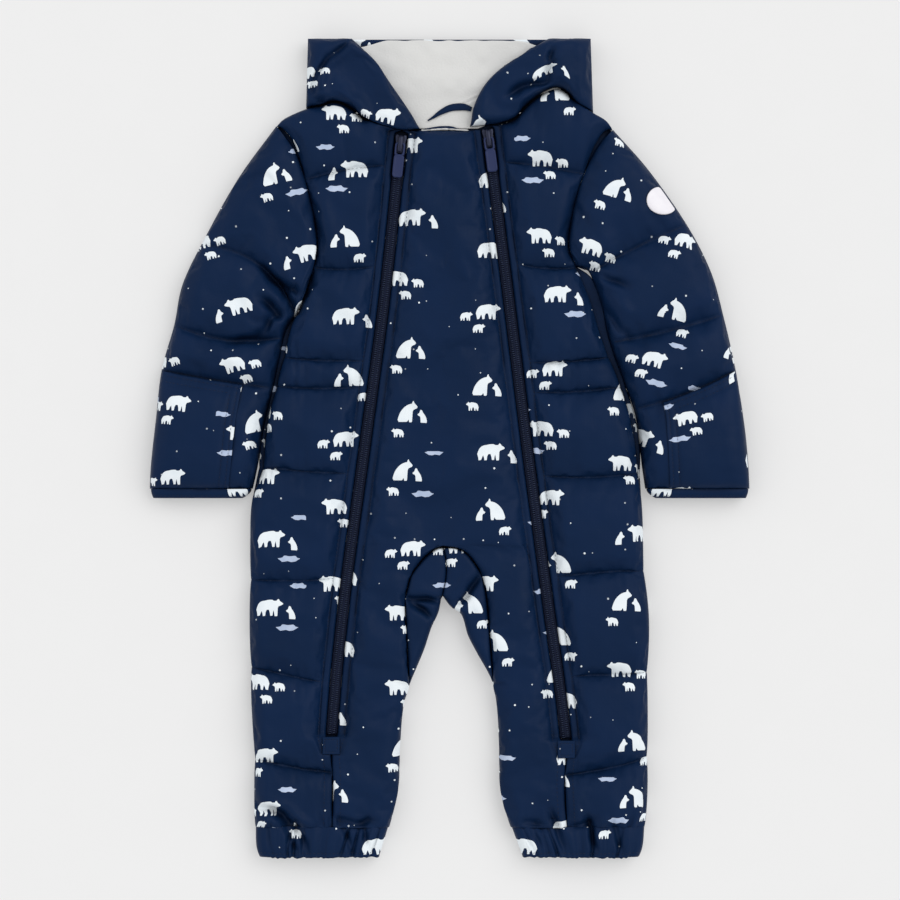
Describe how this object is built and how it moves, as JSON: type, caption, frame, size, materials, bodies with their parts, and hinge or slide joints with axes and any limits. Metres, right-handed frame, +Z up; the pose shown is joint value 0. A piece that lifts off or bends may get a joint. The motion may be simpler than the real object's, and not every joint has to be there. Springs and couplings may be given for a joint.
{
  "type": "baby snowsuit",
  "caption": "Padded hooded one-piece suit for a baby, laid flat, with quilted fronts, two long front zips, fold-over mittens and gathered ankles.",
  "frame": {"origin": "on the surface the suit lies on, under the middle of its outline", "axes": "+Y from the hems to the hood, +X towards the wearer's left sleeve, +Z up from the surface"},
  "size_m": [0.479, 0.655, 0.0301],
  "materials": {
    "shell": "navy woven nylon over soft padding, printed with small pale bears, snow dots and ice floes",
    "lining": "off-white brushed jersey",
    "zip_tape": "dark woven zip tape",
    "zip_coil": "moulded nylon coil",
    "slider_metal": "die-cast metal, dark enamel",
    "pull_grip": "soft moulded rubber-like plastic",
    "badge": "pale printed disc"
  },
  "bodies": {
    "garment": {"back": "shell", "front_center": "shell", "hood_back": "shell", "hood_lining": "lining", "hanging_loop": "shell", "neck_edge": "lining", "badge": "badge", "front_side_right": "shell", "front_side_left": "shell", "gusset_right": "shell", "gusset_left": "shell", "sleeve_right": "shell", "sleeve_left": "shell", "mitten_right": "shell", "mitten_left": "shell", "cuff_right": "shell", "cuff_left": "shell", "ankle_right": "shell", "ankle_left": "shell", "hood_right": "shell", "hood_left": "shell", "zip_tape_right": "zip_tape", "zip_tape_left": "zip_tape", "zip_chain_right": "zip_coil", "zip_chain_left": "zip_coil", "zip_end_right": "shell", "zip_end_left": "shell", "zip_slider_right": "slider_metal", "zip_slider_left": "slider_metal"},
    "pull_right": {"zip_loop_right": "slider_metal", "zip_pull_right": "pull_grip"},
    "pull_left": {"zip_loop_left": "slider_metal", "zip_pull_left": "pull_grip"}
  },
  "joints": [
    {"name": "pull_swing_right", "type": "hinge", "parent": "garment", "child": "pull_right", "pos_m": [-0.03885, 0.243, 0.0166], "axis": [-0.9948, 0.1018, 0], "range_deg": [0, 110]},
    {"name": "pull_swing_left", "type": "hinge", "parent": "garment", "child": "pull_left", "pos_m": [0.03158, 0.2475, 0.0166], "axis": [-0.992, -0.1259, 0], "range_deg": [0, 110]}
  ]
}
